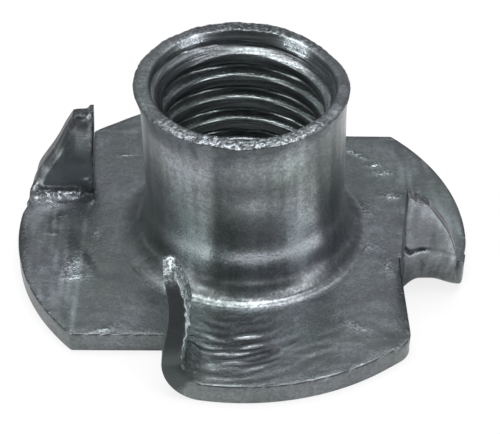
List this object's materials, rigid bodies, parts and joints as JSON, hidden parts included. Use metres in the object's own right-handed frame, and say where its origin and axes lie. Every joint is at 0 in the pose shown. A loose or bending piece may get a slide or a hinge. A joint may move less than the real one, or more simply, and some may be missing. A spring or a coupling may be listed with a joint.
{
  "type": "tee nut",
  "caption": "Pronged tee nut in plated steel: a threaded barrel drawn up from a round flange, with upright prongs lanced from its edge to grip wood.",
  "frame": {"origin": "on the barrel's axis, at the underside of the flange", "axes": "+Z along the barrel, from the flange to the open rim; one prong points along -Y, and the others follow at quarter turns"},
  "size_m": [0.0254, 0.0254, 0.0114],
  "materials": {
    "zinc_plate": "clear zinc plate over stamped steel, satin, with forming rings, scuffs and torn edges"
  },
  "bodies": {
    "root": {"tee_nut": "zinc_plate"}
  },
  "joints": []
}
